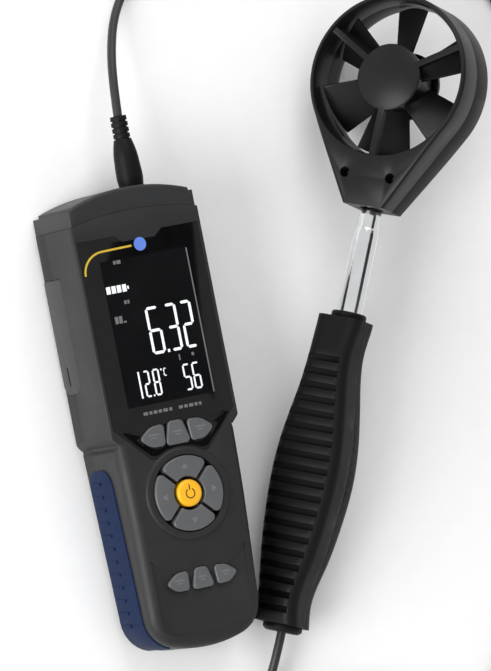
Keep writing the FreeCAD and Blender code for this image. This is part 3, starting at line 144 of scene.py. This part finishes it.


# The edge factor lightens sharp edges: a painted highlight, not wear.
MATERIALS = {
    "case": surface("case", (0.0145, 0.0148, 0.0157), 0.52, grain=2600, bump=0.2, edge_highlight=0.5,
                    Specular_IOR_Level=0.3),
    "cap": surface("cap", (0.019, 0.0195, 0.0206), 0.48, grain=2600, bump=0.16, edge_highlight=0.5,
                   Specular_IOR_Level=0.32),
    "lens": surface("lens", (0.003, 0.003, 0.0035), 0.09, spread=0.03, mottle=0.3, bump=0,
                    Specular_IOR_Level=0.3),
    "lcd": surface("lcd", (0.006, 0.0063, 0.007), 0.14, bump=0),
    "white_plastic": surface("white_plastic", (0.78, 0.78, 0.75), 0.4),
    "black_plastic": surface("black_plastic", (0.015, 0.015, 0.016), 0.4),
    "board": surface("board", (0.02, 0.13, 0.05), 0.3, mottle=0.4, mottle_scale=500, Coat_Weight=0.4),
    "key_grey": surface("key_grey", (0.085, 0.087, 0.091), 0.42, mottle=0.06, bump=0.08),
    "key_yellow": surface("key_yellow", (0.8, 0.4, 0.008), 0.4, mottle=0.05, bump=0.08),
    "grip": surface("grip", (0.004, 0.0125, 0.045), 0.55, grain=1800, bump=0.25, edge_highlight=0.4,
                    Specular_IOR_Level=0.12),
    "flap": surface("flap", (0.0155, 0.0158, 0.0166), 0.56, grain=1800, bump=0.2, edge_highlight=0.3, Sheen_Weight=0.1),
    "steel": surface("steel", (0.6, 0.6, 0.6), 0.32, mottle=0.1, Metallic=1.0),
    "black_steel": surface("black_steel", (0.03, 0.03, 0.03), 0.35, mottle=0.1, Metallic=0.6),
    "nickel": surface("nickel", (0.72, 0.7, 0.66), 0.22, mottle=0.05, Metallic=1.0),
    "gold": surface("gold", (0.85, 0.62, 0.25), 0.25, Metallic=1.0),
    "mast": surface("mast", (0.86, 0.87, 0.88), 0.13, spread=0.04, mottle=0.04, bump=0.04, Metallic=1.0),
    "battery_can": surface("battery_can", (0.3, 0.31, 0.34), 0.35, Coat_Weight=0.3),
    "cord": surface("cord", (0.006, 0.006, 0.0065), 0.5, grain=1500, bump=0.2, Sheen_Weight=0.15),
    "handle": surface("handle", (0.0035, 0.0035, 0.0038), 0.5, grain=2200, bump=0.25, edge_highlight=0.8,
                      Specular_IOR_Level=0.16),
    "head": surface("head", (0.006, 0.006, 0.0065), 0.38, grain=2600, bump=0.12, edge_highlight=0.8,
                    Specular_IOR_Level=0.22),
    "vane": surface("vane", (0.006, 0.0062, 0.0068), 0.34, bump=0.08, edge_highlight=0.5,
                    Specular_IOR_Level=0.22),
    "bearing": surface("bearing", (0.6, 0.42, 0.18), 0.35, Metallic=1.0),
    "display": surface("display", (0.004, 0.0042, 0.0047), 0.16, mottle=0.2, mottle_scale=60, bump=0),
    "lit_mark": surface("lit_mark", (0.8, 0.82, 0.84), 0.3, bump=0, Emission_Color=(0.9, 0.95, 1, 1),
                        Emission_Strength=0.12),
    "print_grey": surface("print_grey", (0.13, 0.13, 0.135), 0.45, bump=0),
    "print_amber": surface("print_amber", (0.55, 0.36, 0.03), 0.4, bump=0),
    "print_blue": surface("print_blue", (0.1, 0.2, 0.6), 0.4, bump=0),
}


def soft_edges():
    """A node group that shades a mesh smooth except across sharp edges."""
    group = bpy.data.node_groups.new("soft_edges", "GeometryNodeTree")
    group.interface.new_socket("Geometry", in_out="INPUT", socket_type="NodeSocketGeometry")
    group.interface.new_socket("Geometry", in_out="OUTPUT", socket_type="NodeSocketGeometry")
    kinds = ("NodeGroupInput", "GeometryNodeSetShadeSmooth", "GeometryNodeSetShadeSmooth", "NodeGroupOutput")
    chain = [group.nodes.new(kind) for kind in kinds]
    chain[2].domain = "EDGE"
    chain[2].inputs["Shade Smooth"].default_value = False
    angle = group.nodes.new("GeometryNodeInputMeshEdgeAngle")
    compare = group.nodes.new("FunctionNodeCompare")
    compare.operation = "GREATER_THAN"
    compare.inputs[1].default_value = SMOOTH_BELOW
    group.links.new(angle.outputs["Unsigned Angle"], compare.inputs[0])
    group.links.new(compare.outputs["Result"], chain[2].inputs["Selection"])
    for first, second in zip(chain, chain[1:]):
        group.links.new(first.outputs[0], second.inputs[0])
    return group


def dress_cad():
    """Gives each CAD node its slot's material, and modifiers that weld, round and smooth it."""
    shading = soft_edges()
    slots = {part["node"]: part["material_slot"] for part in frame["record"]["subparts"]}
    for name, piece in NODES.items():
        piece.data.materials.clear()
        piece.data.materials.append(MATERIALS[slots[name]])
        weld = piece.modifiers.new("weld", "WELD")
        weld.merge_threshold = WELD_DISTANCE
        bevel = piece.modifiers.new("edges", "BEVEL")
        bevel.width = EDGE_ROUND
        bevel.segments = 2
        bevel.limit_method = "ANGLE"
        bevel.angle_limit = ROUND_ABOVE
        bevel.use_clamp_overlap = True
        piece.modifiers.new("shading", "NODES").node_group = shading


# ---------------------------------------------------------------- pieces

def add_piece(name, mesh, material, body=METER):
    """A visible piece, with its material and the body that it moves with."""
    piece = bpy.data.objects.new(name, mesh)
    bpy.context.scene.collection.objects.link(piece)
    piece.data.materials.append(material)
    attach(piece, body)
    return piece


# ---------------------------------------------------------------- display and printed markings
# Sizes and places here are millimetres in the meter's own frame, seen from above.

LENS_TOP = 39.6
AREA_LEVEL = LENS_TOP + 0.005
LIT_LEVEL = AREA_LEVEL + 0.03
PRINT_LEVEL = LENS_TOP + 0.01
KEY_PRINT_GAP = 0.005
KEY_PRINT_THICK = 0.03
SEGMENTS = {"2": "abged", "3": "abgcd", "5": "afgcd", "6": "afgecd", "8": "abcdefg", "C": "afed"}
SIDE_KEY_X = 11.6
RING_X, RING_Y = 0, -34.8
RING_KEY_TOP = 41.1
CENTRE_KEY_TOP = 41.7


def flat_shapes(name, outlines, level, material, thick=0.04, body=METER):
    """Thin raised shapes: each outline is a list of (x, y), extruded up from the level."""
    mesh = bpy.data.meshes.new(name)
    build = bmesh.new()
    for outline in outlines:
        low = [build.verts.new((x * MM, y * MM, level * MM)) for x, y in outline]
        high = [build.verts.new((x * MM, y * MM, (level + thick) * MM)) for x, y in outline]
        build.faces.new(low[::-1])
        build.faces.new(high)
        for i in range(len(outline)):
            j = (i + 1) % len(outline)
            build.faces.new((low[i], low[j], high[j], high[i]))
    bmesh.ops.recalc_face_normals(build, faces=build.faces)
    build.to_mesh(mesh)
    build.free()
    return add_piece(name, mesh, MATERIALS[material], body)


def box_outline(x0, x1, y0, y1):
    return [(x0, y0), (x1, y0), (x1, y1), (x0, y1)]


def around(x, y, radius, angle):
    """The point at an angle, in radians, on a circle round (x, y)."""
    return x + radius * math.cos(angle), y + radius * math.sin(angle)


def disc_outline(x, y, radius, count=24):
    return [around(x, y, radius, 2 * math.pi * i / count) for i in range(count)]


def ring_outlines(x, y, radius, line, start=-240, end=60, count=16):
    """An open ring, as short quads."""
    quads = []
    inner, outer = radius - line / 2, radius + line / 2
    for i in range(count):
        a, b = (math.radians(start + (end - start) * k / count) for k in (i, i + 1))
        corners = ((inner, a), (outer, a), (outer, b), (inner, b))
        quads.append([around(x, y, reach, angle) for reach, angle in corners])
    return quads


def band_outline(points, half):
    """A ribbon of even width along a line of points."""
    left, right = [], []
    for i, (x, y) in enumerate(points):
        before, after = points[max(0, i - 1)], points[min(len(points) - 1, i + 1)]
        along = Vector((after[0] - before[0], after[1] - before[1])).normalized()
        left.append((x - along.y * half, y + along.x * half))
        right.append((x + along.y * half, y - along.x * half))
    return right + left[::-1]


def digit(sign, x, y, width, height, line):
    """A seven-segment sign with its low left corner at (x, y); its segments have mitred ends."""
    middle, gap, half = height / 2, 0.12 * line, line / 2
    across = {"a": height - half, "g": middle, "d": half}
    upright = {"f": (half, middle, height), "b": (width - half, middle, height), "e": (half, 0, middle),
               "c": (width - half, 0, middle)}
    shapes = []
    for segment in SEGMENTS[sign]:
        if segment in across:
            level = across[segment]
            x0, x1 = half + gap, width - half - gap
            shape = [(x0, level), (x0 + half, level - half), (x1 - half, level - half), (x1, level),
                     (x1 - half, level + half), (x0 + half, level + half)]
        else:
            column, low, high = upright[segment]
            y0 = low + (half if low == 0 else 0) + gap
            y1 = high - (half if high == height else 0) - gap
            shape = [(column, y0), (column + half, y0 + half), (column + half, y1 - half), (column, y1),
                     (column - half, y1 - half), (column - half, y0 + half)]
        shapes.append([(x + u, y + v) for u, v in shape])
    return shapes


def figures(signs, low, height, line):
    """A row of seven-segment signs on one base line, each given as (sign, left edge, width)."""
    shapes = []
    for sign, left, width in signs:
        shapes += digit(sign, left, low, width, height, line)
    return shapes


def display():
    """The display's lit figures and signs, on the lens's clear area."""
    left, right, low, high = -20.8, 22, 6.4, 71.4
    flat_shapes("display_area", [box_outline(left, right, low, high)], AREA_LEVEL, "display", 0.02)

    low, height, line, point = 27.4, 21, 1.25, 1.3
    main = figures([("6", -3.8, 6.6), ("3", 5.4, 5.9), ("2", 13, 5.8)], low, height, line)
    main.append(box_outline(3.6, 4.7, low, low + point))
    flat_shapes("display_main_figures", main, LIT_LEVEL, "lit_mark")

    low, height, line = 9.6, 11.8, 0.8
    small = [box_outline(-13.2, -12.4, low, low + height)]
    small += figures([("2", -10.8, 3.1), ("8", -6.2, 3.4)], low, height, line)
    small.append(box_outline(-7.3, -6.6, low, low + line))
    small += figures([("C", -0.6, 1.7)], low + 7.8, 3.6, 0.5)
    small.append(box_outline(-1.9, -1.2, low + 10.6, low + 11.4))
    small += figures([("5", 8.8, 3.6), ("6", 13.3, 3.8)], low - 0.4, height, line)
    flat_shapes("display_small_figures", small, LIT_LEVEL, "lit_mark")

    first, cell, pitch = -20.2, 2.0, 2.6
    starts = [first + pitch * i for i in range(4)]
    cells = [box_outline(x, x + cell, 57, 60.2) for x in starts]
    cells.append(box_outline(-9.9, -9.2, 57.9, 59.3))
    flat_shapes("display_battery_sign", cells, LIT_LEVEL, "lit_mark")

    signs = [(-14.4, -13.2, 69.4, 71), (-12.8, -10.8, 69.4, 71), (-12.8, -11.6, 51.6, 53.2),
             (-11.2, -10.2, 51.6, 53.2), (-18.8, -17.2, 43.6, 46.8), (-16.8, -15.2, 43.6, 46.8),
             (-14.8, -13.4, 43.6, 44.4), (8.2, 8.9, 23, 25.6), (14.6, 15.8, 24, 25.4)]
    dim_signs = [box_outline(*sign) for sign in signs]
    flat_shapes("display_signs", dim_signs, LIT_LEVEL, "print_grey")
    edge = box_outline(21.6, 22.2, 6.6, 71)
    flat_shapes("display_edge_line", [edge], LIT_LEVEL, "print_grey")


def lens_prints():
    """A pinstripe that ends in a badge above the display, and a title line of plain bars below it."""
    corner_x, corner_y, across, rise, half_line = -18.6, 66.5, 10, 9.4, 0.45
    stripe = [(corner_x - across, corner_y)]
    for step in range(10, 91, 10):
        angle = math.radians(step)
        stripe.append((corner_x - across * math.cos(angle), corner_y + rise * math.sin(angle)))
    stripe += [(-10, 76.1), (-4, 76.2)]
    outline = band_outline(stripe, half_line)
    flat_shapes("pinstripe", [outline], PRINT_LEVEL, "print_amber")
    flat_shapes("badge", [disc_outline(0.2, 76.3, 3)], PRINT_LEVEL, "print_blue")

    title, x, low, high, gap, word_gap = [], -14.0, 2.1, 3.5, 0.7, 2.6
    words = ((2.2, 1.4, 1.8, 1.6, 2.2, 1.5), (2, 1.7, 2.1, 1.4, 1.2))
    for word in words:
        for width in word:
            title.append(box_outline(x, x + width, low, high))
            x += width + gap
        x += word_gap
    flat_shapes("title_bars", title, PRINT_LEVEL, "print_grey")


def key_print(key, outlines, top, material="print_grey"):
    """A mark printed on a key's top, which moves with the key."""
    flat_shapes(key + "_mark", outlines, top + KEY_PRINT_GAP, material, KEY_PRINT_THICK, key)


def row_prints():
    """Two bars on each key of the upper and lower rows; the middle key's are lower down and shorter."""
    rows = (("key_upper", 40.6, -7.6, 2.6, -7.8, 2.2), ("key_lower", 37.8, -72.2, 2.2, -72.4, 1.9))
    for row, top, side_y, side_half, middle_y, middle_half in rows:
        keys = (("left", -SIDE_KEY_X, side_y, side_half), ("middle", 0, middle_y, middle_half),
                ("right", SIDE_KEY_X, side_y, side_half))
        for place, x, y, half in keys:
            short = half * 0.6
            bars = [box_outline(x - half, x + half, y + 0.3, y + 1),
                    box_outline(x - short, x + short, y - 1, y - 0.4)]
            key_print(f"{row}_{place}", bars, top)


def ring_prints():
    """A standby sign on the centre key, and an arrow on each key round it."""
    stroke = band_outline([(0, -33.4), (0, -31)], 0.25)
    standby = [stroke, *ring_outlines(0, -35, 2.1, 0.5)]
    key_print("key_centre", standby, CENTRE_KEY_TOP, "black_plastic")
    tip, base, half = 13.4, 11, 1.7
    for place, turn in (("up", 90), ("right", 0), ("down", 270), ("left", 180)):
        c, s = math.cos(math.radians(turn)), math.sin(math.radians(turn))
        corners = ((tip, 0), (base, half), (base, -half))
        arrow = [(RING_X + c * u - s * v, RING_Y + s * u + c * v) for u, v in corners]
        key_print(f"key_ring_{place}", [arrow], RING_KEY_TOP)


# ---------------------------------------------------------------- cord

CORD_RADIUS = 2.0
CORD_FLOOR = 2.05


def coil_points():
    """The put-away coil: an upper layer wound inwards, a step down, and a lower layer wound outwards."""
    centre_x, centre_y = 72.0, -158.0
    turns, per_turn = 3.25, 14
    outer, inner, spread = 26.4, 19.8, 4.15
    lower_turns, step_low, step_high, lift = 1.6, 1.5, 1.75, 4.05
    points = []
    for i in range(round(turns * per_turn) + 1):
        left = turns - i / per_turn
        if left < lower_turns:
            radius = outer - spread * left
        else:
            radius = inner + spread * max(0, left - step_high)
        height = CORD_FLOOR + lift * min(1, max(0, (left - step_low) / (step_high - step_low)))
        x, y = around(centre_x, centre_y, radius, math.radians(-90 - 360 * left))
        points.append((x, y, height))
    return points


def cord_points():
    """The cord's route from the handle, through the put-away coil, to the plug, in millimetres."""
    probe_end = [(45.6, -104.6, 12.1), (40.8, -116, 10.8), (37.9, -126, 4.95), (35.6, -137.5, 2.05),
                 (38.3, -146.5, 3.0), (43.2, -153.5, 5.2)]
    flat = [(91, -181.2), (117, -172.2), (147, -154.2), (168, -126.2), (181, -88), (191, -43), (199, 2),
            (208, 46), (221, 90), (228, 134), (219, 168), (190, 187), (150, 197), (108, 207), (73, 209),
            (50, 201.8)]
    plug_end = [(x, y, CORD_FLOOR) for x, y in flat]
    plug_end += [(35, 190.8, CORD_FLOOR + 1.4), (24.5, 177.8, 7.6), (17, 162.8, 14), (12.4, 147.8, 19.3),
                 (11, 133.8, 20.5)]
    return probe_end + coil_points() + plug_end


def cord():
    """The free cord, as one smooth spline."""
    points = cord_points()
    curve = bpy.data.curves.new("cord", "CURVE")
    curve.dimensions = "3D"
    spline = curve.splines.new("NURBS")
    spline.points.add(len(points) - 1)
    for point, place in zip(spline.points, points):
        point.co = (*(c * MM for c in place), 1)
    spline.order_u = 3
    spline.use_endpoint_u = True
    spline.resolution_u = 6
    curve.bevel_depth = CORD_RADIUS * MM
    curve.bevel_resolution = 6
    curve.use_fill_caps = True
    piece = add_piece("cord", curve, MATERIALS["cord"])
    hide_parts("cord_meter_end", "cord_coil", "cord_probe_end")


# ---------------------------------------------------------------- studio

def stage_square(name, size, material, place=(0, 0, 0)):
    """A flat square for the studio, level at the origin or turned to face it from elsewhere."""
    half = size / 2
    mesh = bpy.data.meshes.new(name)
    corners = [(-half, -half, 0), (half, -half, 0), (half, half, 0), (-half, half, 0)]
    mesh.from_pydata(corners, [], [(0, 1, 2, 3)])
    mesh.materials.append(material)
    square = bpy.data.objects.new(name, mesh)
    square.location = place
    if any(place):
        square.rotation_euler = facing_object(place)
    bpy.context.scene.collection.objects.link(square)


def facing_object(place):
    """The rotation that points a lamp or card at the origin from its place."""
    return (-Vector(place)).to_track_quat("-Z", "Y").to_euler()


def studio():
    """A white table, an even white world, two soft lights, and a black card over the glossy lens."""
    stage_square("floor", 8.0, surface("floor", (0.86, 0.86, 0.86), 0.6, mottle=0.01, bump=0))
    world = bpy.data.worlds.new("studio")
    world.use_nodes = True
    sky = world.node_tree.nodes["Background"]
    sky.inputs["Color"].default_value = (1, 1, 1, 1)
    sky.inputs["Strength"].default_value = 0.7
    bpy.context.scene.world = world
    lights = (("key", (-1.5, -0.2, 0.75), 1.0, 30), ("fill", (0.1, 1.6, 1.3), 1.2, 16))
    for name, place, size, power in lights:
        light = bpy.data.lights.new(name, "AREA")
        light.size = size
        light.energy = power
        lamp = bpy.data.objects.new(name, light)
        lamp.location = place
        lamp.rotation_euler = facing_object(place)
        bpy.context.scene.collection.objects.link(lamp)
    black = surface("card_over", (0.01, 0.01, 0.01), 0.9, bump=0)
    stage_square("card_over", 0.8, black, (0.8, 0.02, 1.5))


def camera():
    """Long-lens view from above the meter's left side, with the meter's top leaning left in the frame."""
    target = Vector((0.0507, 0.028, 0.0233))
    right = Vector((0.8743, -0.1925, 0.4455))
    up = Vector((0.1715, 0.9813, 0.0874))
    back = Vector((-0.45399, 0, 0.89101))
    distance, frame_height, sensor = 2.6, 0.2979, 36
    lens = bpy.data.cameras.new("camera")
    lens.sensor_width = sensor
    lens.lens = sensor * distance / frame_height
    lens.clip_end = 20
    seat = bpy.data.objects.new("camera", lens)
    facing = Matrix((right, up, back)).transposed().to_4x4()
    seat.matrix_world = Matrix.Translation(target + back * distance) @ facing
    bpy.context.scene.collection.objects.link(seat)
    bpy.context.scene.camera = seat


dress_cad()
display()
lens_prints()
row_prints()
ring_prints()
cord()
studio()
camera()
bpy.context.scene.view_settings.view_transform = "Standard"
